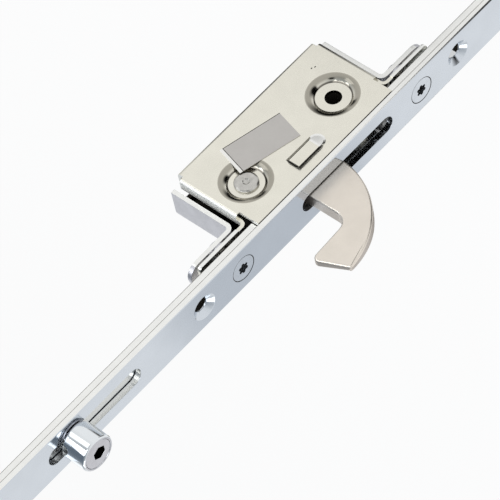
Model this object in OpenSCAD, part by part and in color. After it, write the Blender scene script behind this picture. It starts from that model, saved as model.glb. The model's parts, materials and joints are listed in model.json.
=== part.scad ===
// Hook and roller section of a multipoint door lock, shown locked.
// Millimetres. +Z is up the door edge, the faceplate's front looks along -Y, the case cover faces +X.
// The origin lies on the faceplate's back, midway between the two fixing holes.

/* [Faceplate] */
// Width of the faceplate
plate_w = 16; // [15.5:0.5:20]
// Thickness of the faceplate
plate_t = 2; // [1.8:0.1:2.4]
// Rounding of the long front edges
plate_edge_r = 0.6; // [0.2:0.1:1]
// Height of the faceplate's top end above the origin
plate_top = 148; // [140:1:300]
// Depth of the faceplate's bottom end below the origin
plate_bottom = 100; // [95:1:300]
// Distance from the origin to each fixing hole
fixing_z = 55.4; // [54:0.1:57]
// Distance from the origin to each case screw
screw_z = 38.9; // [38.6:0.1:39.2]
// Diameter of the countersinks at the face
sink_d = 8.6; // [8.2:0.1:9]
// Diameter of the fixing holes and screw holes
hole_d = 4.6; // [4.4:0.1:4.8]
// Length of straight wall left behind each countersink
sink_land = 0.4; // [0.2:0.1:0.8]
// Height of the hook slot's top end
hook_slot_top = 13.4; // [13:0.1:15]
// Depth of the hook slot's bottom end
hook_slot_bottom = 25.9; // [24:0.1:28]
// Length the roller's slot has to spare past each end of the roller's travel
roller_slot_spare = 7.9; // [4:0.1:10]

/* [Drive rail] */
// Width of the rail
rail_w = 12; // [11:0.1:12.4]
// Thickness of the rail
rail_t = 3; // [2.4:0.1:3]
// Travel of the rail from locked to open
travel = 16; // [14:0.5:17]
// Length of faceplate left past the rail at each end of its travel
rail_end_gap = 3; // [1:0.5:10]
// Length the rail's slots have to spare past the fixing screws
slot_spare = 2; // [1:0.5:6]

/* [Hook] */
// Height of the pivot above the origin
pivot_z = 18.9; // [18.5:0.1:19.5]
// Depth of the pivot behind the front face
pivot_y = 15.4; // [15:0.1:16]
// Thickness of the hook
hook_t = 5; // [4:0.1:5.4]
// Swing of the hook from locked to open, in degrees
swing = 74; // [70:1:76]
// Radius of the long back edge
back_r = 27.6; // [27:0.1:28.5]
// Depth of the back edge's centre behind the front face
back_y = 2.3; // [2:0.1:2.6]
// Height of the back edge's centre
back_z = 22.2; // [21.8:0.1:22.6]
// Distance of the throat's wall in front of the faceplate
throat_y = 14.2; // [13:0.1:15]
// Height of the arm's upper edge
throat_z = 10; // [9.5:0.1:10.5]
// Rounding in the throat's corner
throat_r = 4; // [2:0.5:5]
// Height of the nose's tip
nose_tip_z = 26.5; // [25:0.1:27.5]
// Rounding of the nose's tip
nose_tip_r = 1.6; // [0.8:0.1:2]
// Distance of the nose's front corner in front of the faceplate
nose_reach = 25.6; // [25:0.1:26]
// Height of the nose's front corner
nose_corner_z = 21.3; // [20:0.1:22]
// Rounding of the nose's front corner
nose_corner_r = 1.2; // [0.5:0.1:1.5]
// Depth of the heel's corner behind the front face
heel_y = 2.6; // [2:0.1:3]
// Thickness of the nose lost on each side per millimetre
nose_taper = 0.11; // [0.06:0.01:0.14]
// Distance in front of the faceplate where the taper starts
taper_y = 13.7; // [13:0.1:14.5]
// Height where the taper starts
taper_z = 13.9; // [13:0.1:14.5]
// Slant of the line where the taper starts, in degrees
taper_angle = 48; // [42:1:54]

/* [Hook drive] */
// Number of teeth on the hub
tooth_count = 4; // [3:1:4]
// Angle between the teeth, in degrees
tooth_step = 18.5; // [17.5:0.5:19]
// Angle of the first tooth past the pivot's level when locked, in degrees
tooth_first = 6; // [4:0.5:8]
// Width of a tooth at its root
tooth_root_t = 1.6; // [1.4:0.1:1.7]
// Width of a tooth at its tip
tooth_tip_t = 0.8; // [0.6:0.1:0.9]
// Clearance on each side of a tooth in its rack window
tooth_gap = 0.7; // [0.6:0.05:0.8]

/* [Case cover] */
// Distance of the cover's outer face from the strip's middle
cover_x = 7.6; // [7.4:0.1:8]
// Thickness of the cover's sheet
cover_t = 1.2; // [1:0.1:1.3]
// Outer radius of the cover's bends
cover_bend_r = 1.4; // [1.3:0.1:1.8]
// Half length of the cover over its flanges
cover_half = 30.9; // [30.4:0.1:31.4]
// Depth of the case's middle below the origin
case_drop = 0.7; // [0:0.1:1]
// Depth of the cover's back edge behind the front face
cover_back = 33.3; // [32.5:0.1:36]
// Height of the cover's flanges
flange_h = 3.6; // [3.2:0.1:4.4]
// Depth where the end flanges start
flange_front = 9.4; // [8.8:0.1:11]
// Distance of the end flanges from the back edge
flange_inset = 2.3; // [2:0.1:3]
// Width of the corner notches
notch_w = 1.8; // [1.7:0.1:2.2]
// Lower edge of the cover's lugs below the strip's middle
cover_lug_low = 5.4; // [4.8:0.1:5.8]
// Upper edge of the cover's lugs above the strip's middle
cover_lug_top = 6.2; // [5.9:0.1:6.4]
// Rounding of the cover's lugs
cover_lug_r = 1.5; // [0.5:0.1:2.5]
// Length by which the cover's lugs are shorter than the tray's
lug_step = 1.4; // [0.5:0.1:2]
// Diameter of a recess's floor, up to its slanted wall
recess_floor_d = 10.8; // [10:0.1:11.2]
// Depth of the recesses
recess_depth = 1.4; // [1.3:0.1:1.4]
// Slant of a recess's wall, in degrees
recess_slant = 44; // [40:1:45]
// Rounding of a recess's shoulder
recess_shoulder_r = 4.2; // [3:0.1:4.2]
// Rounding round a recess's floor
recess_floor_r = 0.3; // [0.2:0.1:0.4]
// Height of the louvre above the cover
louvre_h = 1; // [0.8:0.1:1.2]
// Width of the louvre
louvre_w = 5.2; // [4.6:0.1:5.6]
// Depth of the louvre's middle behind the front face
louvre_y = 8.1; // [7.8:0.1:8.6]
// Height of the louvre's open end
louvre_top = 6.9; // [6:0.1:7.5]
// Depth of the louvre's round end
louvre_bottom = 6; // [5:0.1:7]
// Wall of the louvre
louvre_wall = 0.7; // [0.5:0.1:0.7]

/* [Case tray] */
// Distance of the tray's outer face from the strip's middle
tray_x = 7.2; // [6.4:0.1:7.4]
// Thickness of the tray's sheet
tray_t = 1.5; // [1.2:0.1:1.5]
// Outer radius of the tray's bends
tray_bend_r = 2.4; // [2:0.1:2.6]
// Top edge of the end walls above the strip's middle
tray_top = 4; // [3.8:0.1:4.4]
// Height of the back wall over the tray's outer face
tray_back_h = 3.2; // [3:0.1:3.3]
// Distance of the back wall's ends from the cover's ends
tray_back_inset = 2; // [1:0.1:4]
// Distance of the end walls from the tray's back edge
tray_wall_inset = 0.6; // [0.3:0.1:1]
// Inner radius of the bends into the lugs
lug_bend_r = 1; // [0.6:0.1:1.2]
// Distance from a lug's end to the fixing hole's axis
lug_clear = 4.6; // [4.4:0.1:6]
// Flat left on the round end of a tray's lug
lug_flat = 0.4; // [0.2:0.1:3]

/* [Pivot] */
// Diameter of the rivet's shank
rivet_d = 5; // [4.5:0.1:5.2]
// Outer diameter of the distance sleeve
sleeve_d = 8; // [7.6:0.1:8.4]
// Diameter of the spacing washers
washer_d = 13; // [11:0.5:14]
// Diameter of the rivet's closing head
closing_d = 7.4; // [6.8:0.1:8]
// Height of the rivet's closing head
closing_h = 1; // [0.8:0.1:1.2]
// Width of the slant round the closing head
closing_slant = 0.8; // [0.4:0.1:1]
// Diameter of the dimple in the closing head
dimple_d = 2.6; // [2:0.1:3]
// Depth of the dimple
dimple_h = 0.4; // [0.2:0.1:0.6]
// Diameter of the rivet's head under the tray
rivet_head_d = 9; // [8:0.1:10]
// Height of the rivet's head under the tray
rivet_head_h = 0.8; // [0.6:0.1:1.2]

/* [Screws] */
// Diameter of the case screws
screw_d = 4; // [3.8:0.1:4.2]
// Length of a screw's end past the tray's lug
screw_past = 1.3; // [0.5:0.1:2]
// Size across the lobes of the screw drive
drive_d = 3.9; // [3.6:0.1:4]
// Diameter between the lobes
drive_core_d = 2.9; // [2.7:0.1:3]
// Radius of a lobe
lobe_r = 0.55; // [0.5:0.05:0.6]
// Depth of the screw drive
drive_h = 1.3; // [1:0.1:1.4]
// Outer diameter of the distance sleeves in the rail's slots
spacer_d = 6.4; // [6:0.1:6.6]
// Diameter of the press nuts' heads
nut_head_d = 8; // [7:0.1:8.6]
// Height of the press nuts' heads, which hold the lugs apart
nut_head_h = 1.9; // [1.7:0.1:2.3]
// Diameter of the press nuts' shanks
nut_d = 5.4; // [5.2:0.1:5.6]
// Length of a nut's shank past the tray's lug
nut_past = 1; // [0.4:0.1:1.4]

/* [Roller] */
// Height of the roller's axis
roller_z = 109.3; // [106:0.1:111]
// Diameter of the roller sleeve
roller_d = 11.6; // [10.8:0.1:12.5]
// Distance of the roller's outer end in front of the faceplate
roller_end = 9.1; // [8:0.1:11]
// Distance of the roller's inner end in front of the faceplate
roller_base = 1; // [0.9:0.1:1.5]
// Chamfer of the roller's outer edge
roller_chamfer = 0.5; // [0.2:0.1:0.8]
// Offset between the stud's tail and the sleeve
eccentric = 0.5; // [0.3:0.05:0.6]
// Diameter of the stud under the sleeve
journal_d = 7; // [6.9:0.1:7.4]
// Diameter of the stud's head
stud_head_d = 9.4; // [9:0.1:9.8]
// Height of the stud's head
stud_head_h = 1.5; // [1:0.1:2]
// Depth of the stud's head below the sleeve's end
stud_sunk = 0.1; // [0:0.05:0.3]
// Diameter of the stud's neck in the slot
neck_d = 5.6; // [5.2:0.1:5.7]
// Diameter of the stud's tail in the rail
tail_d = 4.5; // [4:0.1:4.6]
// Size across the flats of the hexagon socket
hex_af = 4; // [3.5:0.1:4.5]
// Depth of the hexagon socket
hex_h = 3.5; // [2.5:0.1:4]
// Diameter of the tail's closing head
tail_head_d = 7; // [6.4:0.1:7.4]
// Height of the tail's closing head
tail_head_h = 0.8; // [0.6:0.1:1]
// Width of the slant round the tail's closing head
tail_head_slant = 0.7; // [0.3:0.1:0.9]
// Diameter of the sliding washer under the roller
roller_washer_d = 10; // [9:0.1:10.6]
// Diameter of the spring washer behind the rail
spring_d = 8.4; // [8:0.1:9]
// Height of the spring washer's cone
spring_h = 0.7; // [0.6:0.1:0.9]
// Thickness of the spring washer's sheet
spring_t = 0.4; // [0.3:0.05:0.5]

/* [Clearances] */
// Running clearance on radius of turning fits
run_fit = 0.05; // [0.03:0.01:0.08]
// Clearance between still pieces that nest
seat_fit = 0.05; // [0.03:0.01:0.1]
// Clearance on each side of pieces that slide past each other
slide_fit = 0.3; // [0.2:0.05:0.3]
// Play between a piece that turns and the washer beside it
side_play = 0.1; // [0.05:0.01:0.2]
// Clearance on each side of the hook in the faceplate
hook_gap = 0.5; // [0.3:0.1:0.7]
// Clearance on each side of the hook in the rail
window_gap = 0.6; // [0.4:0.1:0.8]
// Length the rail's window has to spare past the hook's arm
window_spare = 3; // [2:0.1:4]
// Clearance on each side of the stud's neck in its slot
neck_gap = 0.35; // [0.2:0.05:0.5]
// Gap between the faceplate and the rail
rail_gap = 0.2; // [0.1:0.05:0.3]
// Gap between the rail and the hook's hub
hub_gap = 0.5; // [0.4:0.1:0.8]
// Gap between the rail and the tray's floor
tray_gap = 0.7; // [0.5:0.1:1]
// Gap between the rail and the cover's lugs
lug_gap = 0.8; // [0.6:0.1:1.4]
// Gap between the cover's end flanges and the tray's end walls
wall_gap = 1.2; // [1:0.1:1.6]
// Gap round a screw's head in its countersink
head_gap = 0.1; // [0.05:0.01:0.15]

/* [Hidden] */
$fn = 64;

// Past both faces of whatever is cut through
cut = 1;
// How far two stretches of one sheet run into each other
lap = 0.5;
// Straight stretch that is left next to a bend
bend_leg = 0.2;

// Planes behind the faceplate's front, in order of depth
sink_back = plate_t - sink_land;
rail_front = plate_t + rail_gap;
rail_back = rail_front + rail_t;
cover_front = plate_t + slide_fit;
tray_front = rail_back + tray_gap;
cover_lug_y = rail_back + lug_gap;
cover_lug_back = cover_lug_y + cover_t;
tray_lug_y = cover_lug_back + nut_head_h;
tray_lug_back = tray_lug_y + tray_t;
screw_end = tray_lug_back + screw_past;
flange_back = cover_back - flange_inset;
tray_back = cover_back - slide_fit;
tray_wall_back = tray_back - tray_wall_inset;

// Planes across the case
cover_inner = cover_x - cover_t;
recess_seat = cover_x - recess_depth;
recess_inner = cover_inner - recess_depth;
flange_low = cover_x - flange_h;
tray_inner = tray_x - tray_t;
tray_wall_low = -tray_x + tray_bend_r + bend_leg;

// Radii where a recess's slant would meet the cover's face, and where its shoulder has run out
recess_corner = recess_floor_d / 2 + recess_depth / tan(recess_slant);
recess_rim = recess_corner + recess_shoulder_r * tan(recess_slant / 2) + bend_leg;

// Ends along the strip
notch_half = cover_half - notch_w;
tray_half = cover_half + wall_gap + tray_t;
lug_end = fixing_z - lug_clear;
rail_top = plate_top - rail_end_gap;
rail_bottom = plate_bottom - travel - rail_end_gap;

// The hub rolls on the rail: its pitch radius turns the rail's travel into the hook's swing
pitch_r = travel / (swing * PI / 180);
hub_r = pivot_y - rail_back - hub_gap;
tooth_tip_r = pivot_y - plate_t - slide_fit;

// Openings made to the size of what passes through them
hook_slot_w = hook_t + 2 * hook_gap;
roller_slot_w = neck_d + 2 * neck_gap;
rail_slot_w = spacer_d + 2 * slide_fit;
window_w = hook_t + 2 * window_gap;
tooth_window_h = tooth_root_t + 2 * tooth_gap;
tail_z = roller_z - eccentric;
stud_face = roller_end - stud_sunk;

// Points of a corner rounded to radius r between its neighbours
function unit(v) = v / norm(v);
function corner(a, b, c, r, steps) =
    let (u = unit(a - b), w = unit(c - b), half = acos(u * w) / 2)
    let (m = b + unit(u + w) * r / sin(half), p = b + u * r / tan(half), q = b + w * r / tan(half))
    let (a0 = atan2(p[1] - m[1], p[0] - m[0]), a1 = atan2(q[1] - m[1], q[0] - m[0]))
    let (turn = a1 - a0 > 180 ? a1 - a0 - 360 : a1 - a0 < -180 ? a1 - a0 + 360 : a1 - a0)
    [for (i = [0:steps]) m + r * [cos(a0 + turn * i / steps), sin(a0 + turn * i / steps)]];
function xy(p) = [p[0], p[1]];

// A closed outline from points [x, y, r], each corner rounded to its own r or sharp where r is 0
function rounded(points, steps = 8) =
    let (n = len(points))
    [
        for (i = [0:n - 1])
            let (p = points[i])
            each p[2] == 0
                ? [xy(p)]
                : corner(xy(points[(i + n - 1) % n]), xy(p), xy(points[(i + 1) % n]), p[2], steps)
    ];

// Outlines in Y and Z, thickened along X from x0 to x1
module along_x(x0, x1) {
    translate([x0, 0, 0])
        rotate([90, 0, 90])
            linear_extrude(x1 - x0)
                children();
}

// Outlines in X and Z, thickened along Y from y0 to y1
module along_y(y0, y1) {
    translate([0, y1, 0])
        rotate([90, 0, 0])
            linear_extrude(y1 - y0)
                children();
}

// A round bar along Y from y0 to y1, centred at x = 0 and height z
module bar_y(y0, y1, d, z, d_end = undef) {
    translate([0, y1, z])
        rotate([90, 0, 0])
            cylinder(h = y1 - y0, d1 = is_undef(d_end) ? d : d_end, d2 = d);
}

// A round bar along X from x0 to x1 on the pivot's depth, at height z
module bar_x(x0, x1, d, z, d_end = undef) {
    translate([x0, pivot_y, z])
        rotate([0, 90, 0])
            cylinder(h = x1 - x0, d1 = d, d2 = is_undef(d_end) ? d : d_end);
}

// A round-ended slot in X and Z
module obround(z0, z1, w) {
    translate([-w / 2, z0 + w / 2])
        square([w, z1 - z0 - w]);
    for (z = [z0 + w / 2, z1 - w / 2])
        translate([0, z])
            circle(d = w);
}

// A sheet of thickness t turned over at its edge, in X and the direction out to the edge
module bent_edge(face, lip, edge, t, r) {
    inner = face + sign(lip - face) * t;
    polygon(rounded([
        [face, edge - r - lap, 0], [face, edge, r], [lip, edge, 0],
        [lip, edge - t, 0], [inner, edge - t, r - t], [inner, edge - r - lap, 0]
    ]));
}

// A strip of sheet in Y and Z that comes forward along a wall and turns outward into a lug
module lug_path(wall_back, wall_z, front, t) {
    reach = wall_z + t + lug_bend_r + 2 * lap;
    polygon(rounded([
        [wall_back, wall_z - t, 0], [front, wall_z - t, lug_bend_r + t], [front, reach, 0],
        [front + t, reach, 0], [front + t, wall_z, lug_bend_r], [wall_back, wall_z, 0]
    ]));
}

// A lug's plate in X and Z, from its bend to its rounded end
module lug_plate(low, top, wall_z, t, end, r) {
    start = wall_z + t + lug_bend_r + lap;
    polygon(rounded([[low, start, 0], [top, start, 0], [top, end, r], [low, end, r]]));
}

// The case's sheets lie about their own middle, while the ends of their lugs keep to the strip's
module on_case() {
    translate([0, 0, -case_drop])
        children();
}

// Faceplate: a flat strip with rounded front edges, its slots and countersunk holes
module faceplate_section() {
    translate([-plate_w / 2, plate_edge_r])
        square([plate_w, plate_t - plate_edge_r]);
    translate([-plate_w / 2 + plate_edge_r, 0])
        square([plate_w - 2 * plate_edge_r, plate_t]);
    for (side = [-1, 1])
        translate([side * (plate_w / 2 - plate_edge_r), plate_edge_r])
            circle(r = plate_edge_r);
}

module faceplate() {
    color("#C6CDD3")
        difference() {
            translate([0, 0, -plate_bottom])
                linear_extrude(plate_top + plate_bottom)
                    faceplate_section();
            along_y(-cut, plate_t + cut) {
                obround(-hook_slot_bottom, hook_slot_top, hook_slot_w);
                obround(
                    tail_z - travel - neck_d / 2 - roller_slot_spare,
                    tail_z + neck_d / 2 + roller_slot_spare,
                    roller_slot_w
                );
            }
            for (z = [-fixing_z, -screw_z, screw_z, fixing_z]) {
                bar_y(-cut, plate_t + cut, hole_d, z);
                bar_y(0, sink_back, sink_d, z, hole_d);
            }
        }
}

// Drive rail: a flat bar with the slots of its guides, rack windows and the hook's window, which
// runs down into the lower slot
module rail_openings() {
    r = rail_slot_w / 2;
    guide_top = screw_z - travel;
    reach = fixing_z + slot_spare + r;
    obround(screw_z - r, reach + travel, rail_slot_w);
    obround(-reach, r - guide_top, rail_slot_w);
    translate([-window_w / 2, -guide_top])
        square([window_w, throat_z + window_spare + guide_top]);
    for (i = [0:tooth_count - 1])
        translate([0, pivot_z + pitch_r * (tooth_first + i * tooth_step) * PI / 180])
            square([window_w, tooth_window_h], center = true);
}

module drive_rail() {
    color("#BEBCB2")
        difference() {
            along_y(rail_front, rail_back)
                translate([-rail_w / 2, -rail_bottom])
                    square([rail_w, rail_top + rail_bottom]);
            along_y(rail_front - cut, rail_back + cut)
                rail_openings();
            bar_y(rail_front - cut, rail_back + cut, tail_d + 2 * run_fit, tail_z);
        }
}

// Case tray: floor, low back wall and end walls that turn outward into the lugs
module tray_floor() {
    reach = tray_half - tray_bend_r;
    along_y(tray_front, tray_back - tray_bend_r)
        translate([-tray_x, -reach])
            square([tray_t, 2 * reach]);
}

module tray_back_wall() {
    half = cover_half - tray_back_inset;
    translate([0, 0, -half])
        linear_extrude(2 * half)
            bent_edge(-tray_x, -tray_x + tray_back_h, tray_back, tray_t, tray_bend_r);
}

module tray_end(end) {
    lug_r = (tray_top - tray_wall_low - lug_flat) / 2;
    along_y(tray_lug_back + lug_bend_r, tray_wall_back)
        bent_edge(-tray_x, tray_wall_low, tray_half, tray_t, tray_bend_r);
    along_x(tray_wall_low, tray_top)
        lug_path(tray_wall_back, tray_half, tray_lug_y, tray_t);
    along_y(tray_lug_y, tray_lug_back)
        lug_plate(tray_wall_low, tray_top, tray_half, tray_t, end, lug_r);
}

module case_tray() {
    color("#C3C3C8")
        difference() {
            on_case() {
                tray_floor();
                tray_back_wall();
                tray_end(lug_end + case_drop);
                mirror([0, 0, 1])
                    tray_end(lug_end - case_drop);
            }
            bar_x(-tray_x - cut, -tray_inner + cut, rivet_d + 2 * seat_fit, pivot_z);
            for (z = [-screw_z, screw_z])
                bar_y(tray_lug_y - cut, tray_lug_back + cut, nut_d + 2 * seat_fit, z);
        }
}

// Case cover: pressed lid with bent flanges, two recesses, a louvre and two lugs
module cover_plate() {
    side = cover_half - cover_bend_r;
    rim = cover_back - cover_bend_r;
    along_x(cover_inner, cover_x)
        polygon([
            [cover_front, -notch_half], [flange_front, -notch_half], [flange_front, -side],
            [flange_back, -side], [flange_back, -notch_half], [rim, -notch_half],
            [rim, notch_half], [flange_back, notch_half], [flange_back, side],
            [flange_front, side], [flange_front, notch_half], [cover_front, notch_half]
        ]);
}

module cover_end(end) {
    along_y(flange_front, flange_back)
        bent_edge(cover_x, flange_low, cover_half, cover_t, cover_bend_r);
    along_x(flange_low, cover_inner - lap)
        lug_path(flange_front + lap, cover_half, cover_lug_y, cover_t);
    along_y(cover_lug_y, cover_lug_back)
        lug_plate(-cover_lug_low, cover_lug_top, cover_half, cover_t, end - lug_step, cover_lug_r);
}

module cover_back_flange() {
    translate([0, 0, -notch_half])
        linear_extrude(2 * notch_half)
            bent_edge(cover_x, flange_low, cover_back, cover_t, cover_bend_r);
}

// The dish of a recess, hung below the plane at x
module recess_dish(x, z) {
    translate([x, pivot_y, z])
        rotate([0, 90, 0])
            rotate_extrude()
                polygon(rounded([
                    [0, -recess_depth, 0], [recess_floor_d / 2, -recess_depth, recess_floor_r],
                    [recess_corner, 0, recess_shoulder_r], [recess_rim, 0, 0],
                    [recess_rim, lap, 0], [0, lap, 0]
                ]));
}

module louvre_outline(wall) {
    w = louvre_w - 2 * wall;
    middle = louvre_w / 2 - louvre_bottom;
    translate([louvre_y - w / 2, middle])
        square([w, louvre_top - middle]);
    translate([louvre_y, middle])
        circle(d = w);
}

// The space under the louvre, open downward through the sheet and at its straight end
module louvre_hollow() {
    roof = cover_x + louvre_h - louvre_wall;
    mouth_w = louvre_w - 2 * louvre_wall;
    along_x(cover_inner - cut, roof)
        louvre_outline(louvre_wall);
    along_x(cover_x, roof)
        translate([louvre_y - mouth_w / 2, louvre_top - cut])
            square([mouth_w, 2 * cut]);
}

module case_cover() {
    color("#E2DED2")
        difference() {
            union() {
                on_case() {
                    cover_plate();
                    cover_back_flange();
                    cover_end(lug_end + case_drop);
                    mirror([0, 0, 1])
                        cover_end(lug_end - case_drop);
                }
                for (z = [-pivot_z, pivot_z])
                    recess_dish(cover_inner, z);
                along_x(cover_inner, cover_x + louvre_h)
                    louvre_outline(0);
            }
            for (z = [-pivot_z, pivot_z]) {
                recess_dish(cover_x, z);
                bar_x(recess_inner - cut, cover_x + cut, rivet_d + 2 * seat_fit, z);
            }
            louvre_hollow();
            for (z = [-screw_z, screw_z])
                bar_y(cover_lug_y - cut, cover_lug_back + cut, screw_d + 2 * slide_fit, z);
        }
}

// Hook: hub with drive teeth, arm through the faceplate and a tapered nose that points up

// Nose, throat and arm in one outline, trimmed to the long back edge
module hook_blade() {
    below = back_z - back_r - cut;
    heel_z = back_z - sqrt(back_r * back_r - (heel_y - back_y) * (heel_y - back_y));
    hub_low = [pivot_y + hub_r * cos(45), pivot_z - hub_r * sin(45)];
    intersection() {
        translate([back_y, back_z])
            circle(r = back_r);
        polygon(rounded([
            [heel_y, below, 0], [heel_y, heel_z, 0], [hub_low[0], hub_low[1], 0],
            [pivot_y, pivot_z, 0], [pivot_y - hub_r / 2, throat_z, 0],
            [-throat_y, throat_z, throat_r], [-throat_y, nose_tip_z, nose_tip_r],
            [-nose_reach, nose_corner_z, nose_corner_r], [-back_r, below, 0]
        ]));
    }
}

module hub() {
    translate([pivot_y, pivot_z])
        circle(r = hub_r);
}

module hub_teeth() {
    root = hub_r - lap;
    for (i = [0:tooth_count - 1])
        translate([pivot_y, pivot_z])
            rotate(180 - tooth_first - i * tooth_step)
                polygon([
                    [root, -tooth_root_t / 2], [tooth_tip_r, -tooth_tip_t / 2],
                    [tooth_tip_r, tooth_tip_t / 2], [root, tooth_root_t / 2]
                ]);
}

// What the taper takes off one side of the nose
module nose_wedge() {
    half = hook_t / 2;
    run = back_r;
    translate([0, -taper_y, taper_z])
        rotate([taper_angle, 0, 0])
            along_y(-back_r, back_r)
                polygon([[half, 0], [half + cut, 0], [half + cut, run], [half - run * nose_taper, run]]);
}

module hook() {
    color("#E2D9CF")
        difference() {
            along_x(-hook_t / 2, hook_t / 2) {
                hook_blade();
                hub();
                hub_teeth();
            }
            bar_x(-hook_t, hook_t, sleeve_d + 2 * run_fit, pivot_z);
            for (side = [0, 1])
                mirror([side, 0, 0])
                    nose_wedge();
        }
}

// Pivot: rivet, distance sleeve and the washers that keep the hook in the middle
module pivot_rivet() {
    closing_top = recess_seat + closing_h;
    slant_low = closing_top - closing_slant / 2;
    color("#D8D5CC")
        difference() {
            union() {
                bar_x(-tray_x, recess_seat, rivet_d, pivot_z);
                bar_x(-tray_x - rivet_head_h, -tray_x, rivet_head_d, pivot_z);
                bar_x(recess_seat, slant_low, closing_d, pivot_z);
                bar_x(slant_low, closing_top, closing_d, pivot_z, closing_d - 2 * closing_slant);
            }
            bar_x(closing_top - dimple_h, closing_top, dimple_d / 2, pivot_z, dimple_d);
        }
}

module pivot_sleeve() {
    color("#B9BABC")
        difference() {
            bar_x(-tray_inner, recess_inner, sleeve_d, pivot_z);
            bar_x(-tray_x, cover_x, rivet_d + 2 * seat_fit, pivot_z);
        }
}

module pivot_washer(x0, x1) {
    color("#B9BABC")
        difference() {
            bar_x(x0, x1, washer_d, pivot_z);
            bar_x(x0 - cut, x1 + cut, sleeve_d + 2 * seat_fit, pivot_z);
        }
}

module cover_washer() {
    pivot_washer(hook_t / 2 + side_play, recess_inner);
}

module tray_washer() {
    pivot_washer(-tray_inner, -hook_t / 2 - side_play);
}

// Case screws: countersunk heads with a six-lobe drive, seated in the faceplate
module six_lobe() {
    circle(d = drive_core_d);
    for (i = [0:5])
        rotate(60 * i)
            translate([drive_d / 2 - lobe_r, 0])
                circle(r = lobe_r, $fn = 24);
}

module case_screw(z) {
    color("#C9CDD0")
        difference() {
            union() {
                bar_y(seat_fit, sink_back, sink_d - 2 * head_gap, z, hole_d - 2 * head_gap);
                bar_y(sink_back, screw_end, screw_d, z);
            }
            translate([0, 0, z])
                along_y(-cut, drive_h)
                    six_lobe();
        }
}

module upper_case_screw() {
    case_screw(screw_z);
}

module lower_case_screw() {
    case_screw(-screw_z);
}

// Distance sleeves: they hold the lugs off the faceplate and guide the rail by its slots
module spacer(z) {
    color("#B9BABC")
        difference() {
            bar_y(plate_t, cover_lug_y, spacer_d, z);
            bar_y(plate_t - cut, cover_lug_y + cut, hole_d, z);
        }
}

module upper_spacer() {
    spacer(screw_z);
}

module lower_spacer() {
    spacer(-screw_z);
}

// Press nuts: the head lies between the lugs, the shank is pressed through the tray's lug
module press_nut(z) {
    color("#B9BABC")
        difference() {
            union() {
                bar_y(cover_lug_back, tray_lug_y, nut_head_d, z);
                bar_y(tray_lug_y, tray_lug_back + nut_past, nut_d, z);
            }
            bar_y(cover_lug_back - cut, screw_end + cut, screw_d + 2 * seat_fit, z);
        }
}

module upper_press_nut() {
    press_nut(screw_z);
}

module lower_press_nut() {
    press_nut(-screw_z);
}

// Roller: an eccentric stud riveted into the rail, with a sleeve that runs on it
module roller_pin() {
    tail_end = rail_back + spring_h;
    color("#D5D8DA")
        difference() {
            union() {
                bar_y(-stud_face, -stud_face + stud_head_h, stud_head_d, roller_z);
                bar_y(-stud_face + stud_head_h, -roller_base, journal_d, roller_z);
                bar_y(-roller_base, rail_front, neck_d, tail_z);
                bar_y(rail_front, tail_end, tail_d, tail_z);
                bar_y(tail_end, tail_end + tail_head_h, tail_head_d, tail_z,
                    tail_head_d - 2 * tail_head_slant);
            }
            translate([0, -stud_face - cut, tail_z])
                rotate([-90, 0, 0])
                    cylinder(h = hex_h + cut, d = hex_af / cos(30), $fn = 6);
        }
}

module roller_sleeve() {
    shoulder = -roller_end + roller_chamfer;
    color("#DADDDF")
        difference() {
            union() {
                bar_y(shoulder, -roller_base, roller_d, roller_z);
                bar_y(-roller_end, shoulder, roller_d - 2 * roller_chamfer, roller_z, roller_d);
            }
            bar_y(-roller_end - cut, -roller_base + cut, journal_d + 2 * run_fit, roller_z);
            bar_y(-roller_end - cut, -stud_face + stud_head_h + run_fit, stud_head_d + 2 * run_fit,
                roller_z);
        }
}

module roller_washer() {
    color("#B9BABC")
        difference() {
            bar_y(-roller_base + side_play, -slide_fit, roller_washer_d, tail_z);
            bar_y(-roller_base - cut, cut, neck_d + 2 * run_fit, tail_z);
        }
}

module roller_spring_washer() {
    inner = tail_d / 2 + run_fit;
    outer = spring_d / 2;
    color("#A9A9A6")
        translate([0, rail_back + spring_h, tail_z])
            rotate([90, 0, 0])
                rotate_extrude()
                    polygon([
                        [inner, 0], [outer, spring_h - spring_t], [outer, spring_h], [inner, spring_t]
                    ]);
}

// Depths count from the faceplate's front, and the whole lock is set on the plane of its back
module on_back() {
    translate([0, -plate_t, 0])
        children();
}

on_back() faceplate();
on_back() drive_rail();
on_back() case_tray();
on_back() case_cover();
on_back() hook();
on_back() pivot_rivet();
on_back() pivot_sleeve();
on_back() cover_washer();
on_back() tray_washer();
on_back() upper_case_screw();
on_back() lower_case_screw();
on_back() upper_spacer();
on_back() lower_spacer();
on_back() upper_press_nut();
on_back() lower_press_nut();
on_back() roller_pin();
on_back() roller_sleeve();
on_back() roller_washer();
on_back() roller_spring_washer();
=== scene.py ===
"""Looks of the hook and roller section of a multipoint door lock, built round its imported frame."""

import json
import math

import bmesh
import bpy
from bpy.props import FloatProperty, FloatVectorProperty, PointerProperty
from mathutils import Matrix, Vector


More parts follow.
